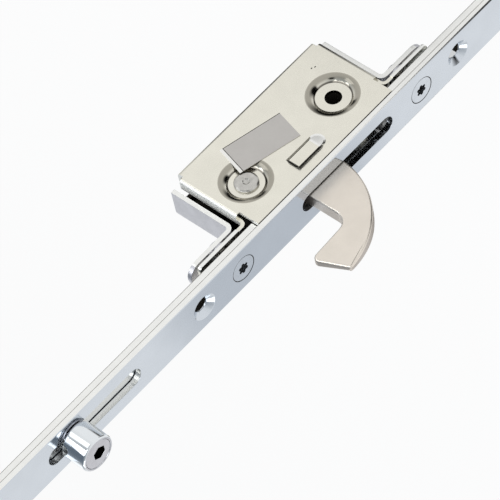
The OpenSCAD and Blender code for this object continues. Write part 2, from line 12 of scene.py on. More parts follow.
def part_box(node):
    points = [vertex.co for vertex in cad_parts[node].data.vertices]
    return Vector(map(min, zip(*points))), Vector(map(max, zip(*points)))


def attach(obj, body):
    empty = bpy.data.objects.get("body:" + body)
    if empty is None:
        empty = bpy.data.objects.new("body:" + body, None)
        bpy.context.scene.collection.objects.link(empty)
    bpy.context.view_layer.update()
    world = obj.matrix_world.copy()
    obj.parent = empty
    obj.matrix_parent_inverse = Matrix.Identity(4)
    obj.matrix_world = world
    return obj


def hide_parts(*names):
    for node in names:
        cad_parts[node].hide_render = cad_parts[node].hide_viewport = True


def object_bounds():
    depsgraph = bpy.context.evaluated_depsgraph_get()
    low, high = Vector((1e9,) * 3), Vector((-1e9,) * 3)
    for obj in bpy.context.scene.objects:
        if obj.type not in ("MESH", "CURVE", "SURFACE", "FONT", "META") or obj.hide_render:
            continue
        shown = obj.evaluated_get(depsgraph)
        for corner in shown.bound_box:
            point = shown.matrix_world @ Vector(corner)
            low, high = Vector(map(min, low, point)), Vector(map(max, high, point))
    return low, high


bl_info = {
    "name": "Multipoint Lock Section",
    "version": (1, 0, 0),
    "blender": (4, 5, 0),
    "location": "View3D > Sidebar > Lock",
    "description": "Edges, finishes and stage of a door-edge lock with a hook bolt and a roller cam",
    "category": "Object",
}

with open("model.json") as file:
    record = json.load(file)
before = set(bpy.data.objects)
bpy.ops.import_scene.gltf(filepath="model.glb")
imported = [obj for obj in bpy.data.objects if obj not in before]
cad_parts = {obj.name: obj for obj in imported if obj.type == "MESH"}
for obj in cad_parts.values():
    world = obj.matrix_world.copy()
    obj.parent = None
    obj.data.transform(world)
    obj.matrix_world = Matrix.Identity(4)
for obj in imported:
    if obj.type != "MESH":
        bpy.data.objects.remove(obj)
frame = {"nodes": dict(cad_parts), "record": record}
CAD_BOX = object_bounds()
BEHAVIOUR = frame["record"]["behaviour"]
BODY_OF = {node: body for body, nodes in BEHAVIOUR["bodies"].items() for node in nodes}
AXIS_AT = {joint["name"]: Vector(joint.get("pos_m", (0, 0, 0))) for joint in BEHAVIOUR["joints"]}

MM = 0.001
MERGE = 0.001 * MM  # points nearer to each other than this are one
TINY = 0.01 * MM  # the least step that counts as one
TOUCH = 0.02 * MM  # the middle of an edge or a face that is this near to an outside lies on it
NEAR = 0.05 * MM  # how far the facets of a flat outside may lie below it
FLAT = math.radians(0.2)  # faces that turn by less are one flat face
SHARP = math.radians(35)  # edges that turn by more are rounded
CRISP = math.radians(32)  # edges that turn by more stay crisp under smooth shading
# How far a face turns towards an axis, as its normal's part along that axis.
SLIGHTLY = 0.2
PARTLY = 0.3
HALFWAY = 0.5
MOSTLY = 0.7
SQUARELY = 0.99
FRONTWARD = -0.9  # along Y, for the faces that look to the front
NOISE_SPAN = {"From Min": 0.3, "From Max": 0.7}  # values that a noise seldom leaves

SIDE_BAND = 0.7 * MM  # width of the faceplate's rounded sides
MARGIN = 1 * MM  # openings in the strip and the rail stay further than this from their sides
BELOW_ROLLER = 30 * MM  # the roller's slot ends within this below the roller
FIXING_BAND = (45 * MM, 80 * MM)  # heights where the rail's guide slots show through the fixing holes
LIP_DEPTH = 0.3 * MM  # depth of the tray's bright lip
INWARD = 1 * MM  # a face looks into the case if the case's middle lies further than this before it
CROWN_HEIGHT = 0.4 * MM  # edges further than this above the cover's face belong to the louvre's crown
MOUTH_BAND = 0.1 * MM  # edges this near to the louvre's open end stay sharp
DRIVE_DEPTH = 2 * MM  # a screw's drive is shallower than this
DRIVE_LIP = 0.3 * MM  # depth at which the bottom of a drive starts to be dark
SOCKET_DEPTH = 4 * MM  # the roller's hexagon socket is shallower than this
SOCKET_LIP = 0.15 * MM  # depth at which the socket starts to be dark
SHOULDER_SHADE_RING = (7.2, 0.6, 1.6)  # painted shade round a recess's shoulder: radius, full and faded half width in mm
CORNER_SHADE_RING = (5.55, 0.1, 0.4)  # painted shade in the corner of its floor: the same
MARKS_AT = ((24.7 * MM, -22.6 * MM), (24.2 * MM, -23.6 * MM))  # Y and Z of the punch marks
MARK_SHAPE = (0.06, 0.7, 1.0)  # a punch mark's depth, width and height as shares of its size
LABEL_FROM_PIVOT = Vector((0, 5.5, -12.3)) * MM  # the label's middle, seen from the pivot

FLOOR_WIDTH = 6.0
FLOOR_GLOW = 0.9  # share of plain white in the floor's tone; the rest keeps the shadow
CARD_LIFT = 1 * MM  # height of the lying cards above the floor
CARD_FADE = 0.45  # share of a card's reach over which its tone thins out


def linear(code):
    """An sRGB hex code as linear red, green and blue."""
    values = [int(code[i : i + 2], 16) / 255 for i in (0, 2, 4)]
    return tuple(v / 12.92 if v <= 0.04045 else ((v + 0.055) / 1.055) ** 2.4 for v in values)


def tint(name, description, code):
    """A colour that a user may change."""
    return FloatVectorProperty(
        name=name, description=description, subtype="COLOR", min=0, max=1, default=linear(code)
    )


def length(name, description, millimetres, most, least=0):
    """A length that a user may change, from least to most, in millimetres."""
    return FloatProperty(
        name=name, description=description, default=millimetres * MM, min=least * MM, max=most * MM,
        subtype="DISTANCE", unit="LENGTH",
    )


class LockFinish(bpy.types.PropertyGroup):
    """Colours of the lock's finishes, and of the shade and highlights painted onto them."""

    strip: tint("Strip", "Bright zinc of the faceplate and the case screws", "D3D9E0")
    # The sheared edges' own lighter tone, also painted as highlight on sides, lips and the louvre's closed
    # end.
    edge: tint("Sheared edges", "Bright edges of strip and sheet, and the cover's flanges", "F2F2EF")
    rail: tint("Rail", "Drawn zinc of the drive rail", "E6E8E9")
    tray: tint("Tray", "Grey zinc of the case tray and the turned pieces", "C9C9CE")
    cover: tint("Cover", "Satin zinc of the case cover", "E9E6DA")
    # Painted shade: a grey ring round each recess's shoulder.
    shoulder: tint("Recess shoulder", "Painted shade round the shoulder of a recess", "A5A196")
    # Painted shade for the case's inside, the hook's hub, holes, drives, sockets, countersinks and dents.
    inside: tint("Inside", "Shade painted inside the case and in its holes", "211F1C")
    # Painted shade: thin dark lines along long corners and a dark ring in the corner of each recess's
    # floor.
    corner_shade_tone: tint("Corner shade", "Shade painted along corners and in the recesses", "6E6A63")
    hook: tint("Hook", "Satin plating of the sintered hook", "EAE2D7")
    # Painted shade: the hook's sides are darker than its ground faces.
    hook_side: tint("Hook side", "Rougher plating on the hook's sides, darker as painted shade", "C9C1B9")
    rivet: tint("Rivet", "Burnished steel of the pivot's rivet", "C9C7C2")
    roller: tint("Roller", "Polished chrome of the roller", "E4E8EB")
    spring: tint("Spring", "Bare hardened steel of the spring washer", "8F8D88")
    label: tint("Label", "Grey coat of the blank label", "C7C4C0")
    border: tint("Label border", "Bare foil along one end of the label", "F6F5F1")
    # A dark line along one long side of the coat, painted shadow of the label's lifted edge, and the same
    # beside its bare end.
    line: tint("Label line", "Dark line that frames the grey coat", "3A3835")


class LockSizes(bpy.types.PropertyGroup):
    """Sizes of the details that the solids leave plain, and of the places where finishes change."""

    sheet_round: length("Sheet edges", "Rounding of the cut edges of sheet and strip", 0.12, 0.3)
    rail_round: length("Rail edges", "Rounding of the long corners of rail and faceplate", 0.3, 0.5)
    hook_round: length("Hook edges", "Rounding of the hook's outer edges", 0.7, 0.8)
    louvre_rise: length("Louvre rise", "Height of the louvre above the cover", 1.0, 1.2)
    louvre_slope: length("Louvre slope", "How far the louvre's side and closed end lean in", 1.2, 1.4)
    louvre_dome: length("Louvre dome", "Length of the falling part at the louvre's closed end", 3.0, 5, 0.5)
    louvre_fall: length("Louvre fall", "How far the louvre falls at its closed end", 0.4, 0.5)
    louvre_round: length("Louvre edges", "Rounding of the louvre's top", 0.25, 0.4)
    turned_round: length("Turned edges", "Rounding of the edges of turned pieces", 0.1, 0.2)
    recess_reach: length("Recess reach", "Radius where a recess's shoulder has run out", 8.8, 10)
    hole_reach: length("Hole reach", "Radius of the hole in a recess's floor, and a little more", 3.2, 4)
    sink_reach: length("Countersink reach", "Radius of a countersink at the faceplate's front", 4.5, 5)
    drive_reach: length("Drive reach", "Radius that a screw's drive stays within", 2.1, 2.4)
    hex_reach: length("Hexagon reach", "Radius that the roller's hexagon stays within", 2.4, 2.8)
    case_half: length("Case half", "Half length of the case between its end walls", 32.1, 34)
    case_drop: length("Case drop", "Depth of the case's middle below the origin", 0.7, 1)
    label_length: length("Label length", "Length of the blank label", 20.9, 25)
    label_width: length("Label width", "Width of the blank label", 10.6, 14)
    label_border: length("Label border", "Width of the bare foil at the label's upper end", 1.0, 3)
    label_line: length("Label line", "Width of the dark line that frames the grey coat", 0.22, 0.5)
    label_thickness: length("Label thickness", "Thickness of the label's foil", 0.16, 0.4)
    label_turn: FloatProperty(
        name="Label turn", description="How far the label is stuck askew", default=math.radians(14.3),
        min=math.radians(-45), max=math.radians(45), subtype="ANGLE", unit="ROTATION",
    )
    mark_width: length("Punch mark", "Width of the punch marks on the cover", 0.6, 1)


def add(tree, kind, inputs=None, **settings):
    """Adds a node with its settings, and sets or links its inputs."""
    made = tree.nodes.new(kind)
    for key, value in settings.items():
        setattr(made, key, value)
    for key, value in (inputs or {}).items():
        if isinstance(value, bpy.types.NodeSocket):
            tree.links.new(value, made.inputs[key])
        else:
            made.inputs[key].default_value = value
    return made


def metal_finish(name, colour, shade, rough, grain, depth, cloud):
    """A metal's surface, with its fine grain and the slow clouding of its plating or coat.

    shade is the clouding's darkest tone as a share of colour, rough the least and most roughness,
    grain the grain's size in mm along X, Y and Z, depth its height in mm, cloud the clouds' size in mm.
    """
    found = bpy.data.materials.get(name)
    if found:
        return found
    material = bpy.data.materials.new(name)
    material.use_nodes = True
    tree = material.node_tree
    shader = tree.nodes["Principled BSDF"]
    place = add(tree, "ShaderNodeTexCoord").outputs["Object"]
    grained = add(tree, "ShaderNodeMapping", {"Vector": place, "Scale": [1 / (g * MM) for g in grain]})
    fine = add(
        tree, "ShaderNodeTexNoise",
        {"Vector": grained.outputs["Vector"], "Scale": 1.0, "Detail": 3.0, "Roughness": 0.6},
    )
    slow = add(
        tree, "ShaderNodeTexNoise",
        {"Vector": place, "Scale": 1 / (cloud * MM), "Detail": 2.0, "Roughness": 0.5},
    )
    tone = add(
        tree, "ShaderNodeMapRange",
        {"Value": slow.outputs["Fac"], **NOISE_SPAN, "To Min": 0.0, "To Max": 1.0},
    )
    darkest = [part * shade for part in colour]
    colours = add(
        tree, "ShaderNodeMix",
        {"Factor": tone.outputs["Result"], "A": (*darkest, 1), "B": (*colour, 1)}, data_type="RGBA",
    )
    gloss = add(
        tree, "ShaderNodeMapRange",
        {"Value": fine.outputs["Fac"], **NOISE_SPAN, "To Min": rough[0], "To Max": rough[1]},
    )
    relief = add(
        tree, "ShaderNodeBump",
        {"Height": fine.outputs["Fac"], "Distance": depth * MM, "Strength": 1.0},
    )
    shader.inputs["Metallic"].default_value = 1.0
    tree.links.new(colours.outputs["Result"], shader.inputs["Base Color"])
    tree.links.new(gloss.outputs["Result"], shader.inputs["Roughness"])
    tree.links.new(relief.outputs["Normal"], shader.inputs["Normal"])
    return material


def strip_zinc(finish):
    # Bright blue-passivated zinc on rolled strip: mirror-like, with faint rolling lines up its length.
    return metal_finish(
        "zinc_bright_rolled_strip", finish.strip,
        shade=0.95, rough=(0.1, 0.16), grain=(0.25, 0.25, 9.0), depth=0.0006, cloud=9.0,
    )


def edge_and_highlight_zinc(finish):
    # Sheared, tumbled edges of strip and sheet: lighter and duller than rolled faces, partly painted
    # highlight.
    return metal_finish(
        "zinc_sheared_edge_and_painted_highlight", finish.edge,
        shade=0.96, rough=(0.22, 0.28), grain=(0.6, 0.6, 3.0), depth=0.0003, cloud=4.0,
    )


def rail_zinc(finish):
    # Zinc on cold-drawn bar: long drawing lines, duller than the strip.
    return metal_finish(
        "zinc_drawn_bar", finish.rail,
        shade=0.94, rough=(0.18, 0.24), grain=(0.5, 0.5, 12.0), depth=0.0003, cloud=9.0,
    )


def tray_zinc(finish):
    # Zinc on deep-drawn sheet: mottled and slightly rough, with a lilac cast.
    return metal_finish(
        "zinc_pressed_sheet", finish.tray,
        shade=0.9, rough=(0.3, 0.44), grain=(0.5, 0.5, 0.7), depth=0.002, cloud=4.0,
    )


def cover_zinc(finish):
    # Satin zinc on pressed sheet: cream cast and a soft even sheen.
    return metal_finish(
        "zinc_satin_pressed_sheet", finish.cover,
        shade=0.95, rough=(0.2, 0.29), grain=(0.3, 0.3, 0.4), depth=0.0008, cloud=7.0,
    )


def recess_zinc_and_shade(finish):
    # The same sheet where the punch has drawn it: ironed smooth, so it mirrors light and dark sharply,
    # with painted shade: a grey ring round the shoulder and a dark ring in the corner of the floor.
    name = "zinc_drawn_recess_painted_shade"
    if name in bpy.data.materials:
        return bpy.data.materials[name]
    material = metal_finish(
        name, finish.cover,
        shade=0.97, rough=(0.09, 0.15), grain=(0.4, 0.4, 0.4), depth=0.0004, cloud=5.0,
    )
    tree = material.node_tree
    shader = tree.nodes["Principled BSDF"]
    # One recess lies on the pivot's axis and the other as far below the origin as that is above it, so
    # folding the heights brings both onto one axis, and the distance from it gives the rings.
    pivot = AXIS_AT["hook_swing"]
    place = add(tree, "ShaderNodeTexCoord").outputs["Object"]
    folded = add(tree, "ShaderNodeVectorMath", {0: place}, operation="ABSOLUTE")
    level = add(
        tree, "ShaderNodeVectorMath", {0: folded.outputs["Vector"], 1: (0, 1, 1)}, operation="MULTIPLY"
    )
    away = add(
        tree, "ShaderNodeVectorMath",
        {0: level.outputs["Vector"], 1: (0, pivot.y, pivot.z)}, operation="DISTANCE",
    )
    # The painted shade rings, each faded out at its sides.
    for (radius, full, faded), tone in ((SHOULDER_SHADE_RING, finish.shoulder), (CORNER_SHADE_RING, finish.corner_shade_tone)):
        beside = add(
            tree, "ShaderNodeMath", {0: away.outputs["Value"], 1: radius * MM}, operation="SUBTRACT"
        )
        gap = add(tree, "ShaderNodeMath", {0: beside.outputs[0]}, operation="ABSOLUTE")
        ring = add(
            tree, "ShaderNodeMapRange",
            {
                "Value": gap.outputs[0], "From Min": full * MM, "From Max": faded * MM,
                "To Min": 1.0, "To Max": 0.0,
            },
        )
        before = shader.inputs["Base Color"].links[0].from_socket
        ringed = add(
            tree, "ShaderNodeMix", {"Factor": ring.outputs["Result"], "A": before, "B": (*tone, 1)},
            data_type="RGBA",
        )
        tree.links.new(ringed.outputs["Result"], shader.inputs["Base Color"])
    return material


def flange_highlight_zinc(finish):
    # The cover's bent flanges: the outside of the bend is drawn dull, and its near-white tone is a painted
    # highlight.
    return metal_finish(
        "zinc_dull_flange_painted_highlight", finish.edge,
        shade=0.95, rough=(0.5, 0.6), grain=(0.3, 0.3, 0.4), depth=0.0008, cloud=5.0,
    )


def painted_shade_zinc(finish):
    # Painted shade for the case's inside, holes, drives, sockets and dents: nearly black, with a soft
    # sheen.
    return metal_finish(
        "zinc_painted_shade", finish.inside,
        shade=0.6, rough=(0.34, 0.44), grain=(0.8, 0.8, 0.8), depth=0.0012, cloud=3.0,
    )


def corner_shade_zinc(finish):
    # A thin dark line painted as shade along long corners, beside their bright edge.
    return metal_finish(
        "zinc_painted_corner_shade", finish.corner_shade_tone,
        shade=0.8, rough=(0.35, 0.5), grain=(0.3, 0.3, 3.0), depth=0.002, cloud=4.0,
    )


def hook_sinter(finish):
    # Plated sintered steel, tumbled: fine sandy grain, warm satin, no mirror.
    return metal_finish(
        "sintered_steel_satin_plated", finish.hook,
        shade=0.95, rough=(0.34, 0.44), grain=(0.28, 0.28, 0.28), depth=0.003, cloud=5.0,
    )


def hook_side_shade(finish):
    # The hook's sides: a little rougher than its ground faces, and darker as painted shade.
    return metal_finish(
        "sintered_steel_side_painted_shade", finish.hook_side,
        shade=0.93, rough=(0.38, 0.48), grain=(0.3, 0.3, 0.3), depth=0.003, cloud=4.0,
    )


def rivet_steel(finish):
    # Cold-formed rivet: the closing head is flattened and slightly burnished.
    return metal_finish(
        "steel_headed_rivet", finish.rivet,
        shade=0.8, rough=(0.16, 0.3), grain=(0.5, 0.5, 0.5), depth=0.006, cloud=1.6,
    )


def turned_zinc(finish):
    # Zinc on turned steel: grey and even.
    return metal_finish(
        "zinc_turned_steel", finish.tray,
        shade=0.9, rough=(0.26, 0.36), grain=(0.3, 0.3, 0.3), depth=0.001, cloud=3.0,
    )


def screw_zinc(finish):
    # Bright zinc on a cold-headed screw: a clean sheen that clouds a little.
    return metal_finish(
        "zinc_cold_headed_screw", finish.strip,
        shade=0.92, rough=(0.14, 0.24), grain=(0.4, 0.4, 0.4), depth=0.0015, cloud=2.0,
    )


def roller_chrome(finish):
    # Ground and chromed steel: sharp reflections with the finest grinding lines round the barrel.
    return metal_finish(
        "chrome_ground_steel", finish.roller,
        shade=0.97, rough=(0.06, 0.11), grain=(6.0, 0.2, 6.0), depth=0.0003, cloud=4.0,
    )


def spring_bare(finish):
    # Hardened spring steel, oiled and bare: darker than the plated pieces round it.
    return metal_finish(
        "spring_steel_bare", finish.spring,
        shade=0.85, rough=(0.28, 0.4), grain=(0.4, 0.4, 0.4), depth=0.002, cloud=2.0,
    )


def label_foil(finish):
    # Grey coat on metallised foil: flat and even, with a soft sheen.
    return metal_finish(
        "foil_grey_coated", finish.label,
        shade=0.96, rough=(0.38, 0.46), grain=(0.5, 0.5, 0.5), depth=0.0006, cloud=6.0,
    )


def border_foil(finish):
    # The same foil without its coat: nearly white.
    return metal_finish(
        "foil_bare", finish.border,
        shade=0.97, rough=(0.36, 0.44), grain=(0.5, 0.5, 0.5), depth=0.0006, cloud=6.0,
    )


def label_shadow_line(finish):
    # A dark line, duller than the coat, along one long side (painted shadow of its lifted edge) and beside
    # its bare end.
    return metal_finish(
        "foil_painted_shadow_line", finish.line,
        shade=0.9, rough=(0.45, 0.55), grain=(0.5, 0.5, 0.5), depth=0.0004, cloud=6.0,
    )


def merged_copy(name):
    """A bmesh of a CAD node with its triangles joined and its flat faces made whole."""
    bm = bmesh.new()
    bm.from_mesh(frame["nodes"][name].data)
    bmesh.ops.remove_doubles(bm, verts=bm.verts, dist=MERGE)
    bmesh.ops.dissolve_limit(bm, angle_limit=FLAT, verts=bm.verts, edges=bm.edges)
    return bm


def round_edges(bm, width, segments, chosen=None):
    """Rounds the sharp edges, all of them or those that chosen takes by their middle."""
    edges = [
        edge
        for edge in bm.edges
        if edge.is_manifold
        and edge.calc_face_angle() > SHARP
        and (chosen is None or chosen((edge.verts[0].co + edge.verts[1].co) / 2))
    ]
    if not edges:
        raise RuntimeError("no edge to round")
    bmesh.ops.bevel(
        bm, geom=edges, offset=width, offset_type="OFFSET", affect="EDGES", segments=segments,
        profile=0.5, material=-1, clamp_overlap=False, loop_slide=True,
    )


def finish_piece(bm, name, body, materials, paint=None):
    """Makes the bmesh an object that rides on a body, smooth with crisp edges.

    paint picks one of the materials for a face by the face's centre and normal.
    """
    # Rounding leaves slivers thinner than a micron, which would double an edge in the mesh.
    bmesh.ops.remove_doubles(bm, verts=bm.verts, dist=MERGE)
    bmesh.ops.dissolve_degenerate(bm, dist=MERGE, edges=bm.edges)
    bm.normal_update()
    for face in bm.faces:
        face.smooth = True
        if paint:
            face.material_index = materials.index(paint(face.calc_center_median(), face.normal))
    for edge in bm.edges:
        edge.smooth = edge.is_manifold and edge.calc_face_angle() < CRISP
    mesh = bpy.data.meshes.new(name)
    bm.to_mesh(mesh)
    bm.free()
    for material in materials:
        mesh.materials.append(material)
    piece = bpy.data.objects.new(name, mesh)
    bpy.context.scene.collection.objects.link(piece)
    even = piece.modifiers.new("even_normals", "WEIGHTED_NORMAL")
    even.keep_sharp = True
    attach(piece, body)
    return piece


def stand_in(bm, name, materials, paint=None):
    """Lets a worked copy stand for its CAD node."""
    piece = finish_piece(bm, name + "_finished", BODY_OF[name], materials, paint)
    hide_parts(name)


def dress(name, materials, width, segments=2, chosen=None, paint=None):
    """Stands for a CAD node by a copy of it with rounded edges."""
    bm = merged_copy(name)
    round_edges(bm, width, segments, chosen)
    stand_in(bm, name, materials, paint)


def middle_of(name):
    """The middle of a CAD node's box."""
    low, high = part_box(name)
    return (Vector(low) + Vector(high)) / 2


def across(centre, axis):
    """Distance of a point from an axis along Y."""
    return math.hypot(centre.x - axis.x, centre.z - axis.z)


def case_inside(sizes):
    """A test of whether a face of the case's sheets looks into the case, between its end walls."""
    middle = Vector((0, middle_of("case_cover").y, -sizes.case_drop))

    def looks_in(centre, normal):
        between = abs(centre.z - middle.z) < sizes.case_half
        return between and (middle - centre).dot(normal) > INWARD

    return looks_in


class LOCK_OT_faceplate(bpy.types.Operator):
    """Strip with bright edges partly painted highlight, softened slots, and painted shade on back corners
    and countersinks
    """

    bl_idname = "lock.faceplate"
    bl_label = "Faceplate"

    def execute(self, context):
        finish = context.scene.lock_finish
        sizes = context.scene.lock_sizes
        rolled = strip_zinc(finish)
        edge_or_highlight = edge_and_highlight_zinc(finish)
        painted_shade = painted_shade_zinc(finish)
        corner_shade = corner_shade_zinc(finish)
        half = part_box("faceplate")[1].x
        screws = [middle_of(side + "_case_screw") for side in ("upper", "lower")]
        roller_slot_end = AXIS_AT["roller_setting"].z - BELOW_ROLLER

        def paint(centre, normal):
            at_side = abs(centre.x) > half - SIDE_BAND
            # The back long corners take a thin painted shade line; the sides the bright edge tone, partly
            # painted highlight.
            back_corner = normal.y > SLIGHTLY and abs(normal.x) > SLIGHTLY
            if at_side and back_corner:
                return corner_shade
            if at_side and abs(normal.x) > MOSTLY:
                return edge_or_highlight
            # The countersinks round the case screws are painted as shade where they don't face the front.
            if any(across(centre, screw) < sizes.sink_reach for screw in screws):
                return rolled if abs(normal.y) > SQUARELY else painted_shade
            slot_wall = abs(normal.y) < PARTLY and abs(centre.x) < half / 2
            return edge_or_highlight if slot_wall and centre.z > roller_slot_end else rolled

        bm = merged_copy("faceplate")
        round_edges(bm, sizes.rail_round, 3, lambda middle: abs(middle.x) > half - TOUCH)
        round_edges(bm, sizes.sheet_round, 2, lambda middle: abs(middle.x) < half - MARGIN)
        stand_in(bm, "faceplate", (rolled, edge_or_highlight, painted_shade, corner_shade), paint)
        return {"FINISHED"}


class LOCK_OT_rail(bpy.types.Operator):
    """Drawn bar behind the faceplate, with painted shade along its corners and slots, and bright sides
    partly painted highlight
    """

    bl_idname = "lock.rail"
    bl_label = "Drive rail"

    def execute(self, context):
        finish = context.scene.lock_finish
        sizes = context.scene.lock_sizes
        drawn = rail_zinc(finish)
        corner_shade = corner_shade_zinc(finish)
        painted_shade = painted_shade_zinc(finish)
        bright = edge_and_highlight_zinc(finish)
        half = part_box("drive_rail")[1].x
        lowest, highest = FIXING_BAND

        def paint(centre, normal):
            # Painted shade along the long corners and on the slot walls seen through the fixing holes; the
            # sides are bright, partly painted highlight.
            long_corner = SLIGHTLY < abs(normal.x) < SQUARELY and abs(normal.z) < PARTLY
            if long_corner and abs(centre.x) > half - sizes.rail_round:
                return corner_shade
            if abs(normal.x) > SQUARELY and abs(centre.x) > half - NEAR:
                return bright
            slot_wall = abs(normal.y) < HALFWAY and abs(centre.x) < half - MARGIN
            return painted_shade if slot_wall and lowest < abs(centre.z) < highest else drawn

        bm = merged_copy("drive_rail")
        round_edges(bm, sizes.rail_round, 3, lambda middle: abs(middle.x) > half - TOUCH)
        round_edges(bm, sizes.sheet_round, 2, lambda middle: abs(middle.x) < half - 2 * sizes.rail_round)
        stand_in(bm, "drive_rail", (drawn, corner_shade, painted_shade, bright), paint)
        return {"FINISHED"}


class LOCK_OT_tray(bpy.types.Operator):
    """Pressed tray with bright lips, partly painted highlight, and painted shade inside"""

    bl_idname = "lock.tray"
    bl_label = "Case tray"

    def execute(self, context):
        finish = context.scene.lock_finish
        sizes = context.scene.lock_sizes
        pressed = tray_zinc(finish)
        edge_or_highlight = edge_and_highlight_zinc(finish)
        painted_shade = painted_shade_zinc(finish)
        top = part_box("case_tray")[1].x
        looks_in = case_inside(sizes)

        def paint(centre, normal):
            # The lip takes the bright edge tone, partly painted highlight; faces that look into the case
            # are painted as shade.
            if normal.x > MOSTLY and centre.x > top - LIP_DEPTH:
                return edge_or_highlight
            return painted_shade if looks_in(centre, normal) else pressed

        dress("case_tray", (pressed, edge_or_highlight, painted_shade), sizes.sheet_round, paint=paint)
        return {"FINISHED"}


class LOCK_OT_cover(bpy.types.Operator):
    """Pressed cover with its polished recesses, louvre and lugs, painted shade inside and painted
    highlights
    """

    bl_idname = "lock.cover"
    bl_label = "Case cover"

    def execute(self, context):
        finish = context.scene.lock_finish
        sizes = context.scene.lock_sizes
        satin = cover_zinc(finish)
        edge_or_highlight = edge_and_highlight_zinc(finish)
        painted_shade = painted_shade_zinc(finish)
        recess_shaded = recess_zinc_and_shade(finish)
        flange_highlight = flange_highlight_zinc(finish)
        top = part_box("case_cover")[1].x
        level = top - sizes.louvre_rise
        pivot = AXIS_AT["hook_swing"]
        looks_in = case_inside(sizes)

        def louvre_paint(normal):
            # Its closed end is a painted highlight; its underside, open end, near side and the crease
            # beside its slope are painted shade.
            under_side = normal.x < 0
            open_end = normal.z > HALFWAY
            if under_side or open_end:
                return painted_shade
            closed_end = normal.z < -0.05
            if closed_end:
                return edge_or_highlight
            near_side = normal.y < -PARTLY
            crease = 0.15 < normal.y < 0.6
            return painted_shade if near_side or crease else satin

        def paint(centre, normal):
            from_axis = math.hypot(centre.y - pivot.y, abs(centre.z) - pivot.z)
            # The hole in a recess's floor and faces that look into the case are painted as shade; a
            # recess's sides carry painted shade rings.
            if from_axis < sizes.hole_reach and normal.x < HALFWAY:
                return painted_shade
            in_recess = from_axis < sizes.recess_reach and centre.x < level - TINY
            outer = normal.x > -0.05
            if in_recess and outer:
                floor = normal.x > 0.999
                return satin if floor else recess_shaded
            if centre.x > level + TOUCH:
                return louvre_paint(normal)
            if looks_in(centre, normal):
                return painted_shade
            on_lug = abs(centre.z + sizes.case_drop) > sizes.case_half
            if on_lug:
                return edge_or_highlight if normal.x > MOSTLY else satin
            # The end flanges take a painted highlight.
            on_end_flange = abs(normal.z) > HALFWAY and centre.x < level
            return flange_highlight if on_end_flange else satin

        bm = merged_copy("case_cover")
        open_end = self.slope_louvre(bm, top, sizes)
        round_edges(
            bm, sizes.louvre_round, 3,
            lambda middle: middle.x > level + CROWN_HEIGHT and middle.z < open_end - MOUTH_BAND,
        )
        round_edges(bm, sizes.sheet_round, 2, lambda middle: middle.x < level)
        stand_in(bm, "case_cover", (satin, edge_or_highlight, painted_shade, recess_shaded, flange_highlight), paint)
        return {"FINISHED"}

    def slope_louvre(self, bm, top, sizes):
        """Leans the louvre's far side and closed end in, as a press draws them.

        Returns the height of its open end.
        """
        crown = [vert for vert in bm.verts if vert.co.x > top - NEAR]
        if not crown:
            raise RuntimeError("the cover has no louvre")
        near_side = min(vert.co.y for vert in crown)
        width = max(vert.co.y for vert in crown) - near_side
        open_end = max(vert.co.z for vert in crown)
        reach = open_end - min(vert.co.z for vert in crown)
        lean = sizes.louvre_slope
        bmesh.ops.scale(
            bm, verts=crown, vec=(1, 1 - lean / width, 1 - lean / reach),
            space=Matrix.Translation((0, -near_side, -open_end)),
        )
        # The last part of the crown falls towards the closed end.
        fall_start = open_end - reach + lean + sizes.louvre_dome
        flat = [face for face in bm.faces if face.calc_center_median().x > top - NEAR]
        rims = dict.fromkeys(edge for face in flat for edge in face.edges)
        bmesh.ops.bisect_plane(
            bm, geom=[*crown, *rims, *flat],
            plane_co=(0, 0, fall_start), plane_no=(0, 0, 1), dist=MERGE,
        )
        falling = [
            vert for vert in bm.verts if vert.co.x > top - NEAR and vert.co.z < fall_start - TINY
        ]
        steepness = sizes.louvre_fall / sizes.louvre_dome
        shear = Matrix.Identity(4)
        shear[0][2] = steepness
        shear[0][3] = -steepness * fall_start
        bmesh.ops.transform(bm, matrix=shear, verts=falling)
        return open_end


class LOCK_OT_marks(bpy.types.Operator):
    """Two small punch marks on the cover, painted dark as shade"""

    bl_idname = "lock.marks"
    bl_label = "Punch marks"

    def execute(self, context):
        finish = context.scene.lock_finish
        sizes = context.scene.lock_sizes
        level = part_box("case_cover")[1].x - sizes.louvre_rise
        bm = bmesh.new()
        for y, z in MARKS_AT:
            dent = bmesh.ops.create_uvsphere(bm, u_segments=12, v_segments=6, radius=sizes.mark_width / 2)
            bmesh.ops.scale(bm, verts=dent["verts"], vec=MARK_SHAPE)
            bmesh.ops.translate(bm, verts=dent["verts"], vec=(level, y, z))
        # The dents are painted as shade.
        finish_piece(bm, "punch_marks", "base", (painted_shade_zinc(finish),))
        return {"FINISHED"}


class LOCK_OT_hook(bpy.types.Operator):
    """Sintered hook, its blade well rounded, its teeth crisp, its hub and sides painted with shade"""

    bl_idname = "lock.hook"
    bl_label = "Hook"

    def execute(self, context):
        finish = context.scene.lock_finish
        sizes = context.scene.lock_sizes
        ground = hook_sinter(finish)
        painted_shade = painted_shade_zinc(finish)
        side = hook_side_shade(finish)
        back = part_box("faceplate")[1].y
        rail_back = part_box("drive_rail")[1].y
        bm = merged_copy("hook")
        round_edges(bm, sizes.hook_round, 4, lambda middle: middle.y < back)
        # What lies behind the rail while the hook is out is painted as shade.
        everything = [*bm.verts, *bm.edges, *bm.faces]
        bmesh.ops.bisect_plane(
            bm, geom=everything, plane_co=(0, rail_back, 0), plane_no=(0, 1, 0), dist=MERGE
        )

        def paint(centre, normal):
            if centre.y > rail_back:
                return painted_shade
            # The sides are darker as painted shade.
            side_in_shade = abs(normal.x) < 0.4
            return side if side_in_shade else ground

        stand_in(bm, "hook", (ground, painted_shade, side), paint)
        return {"FINISHED"}


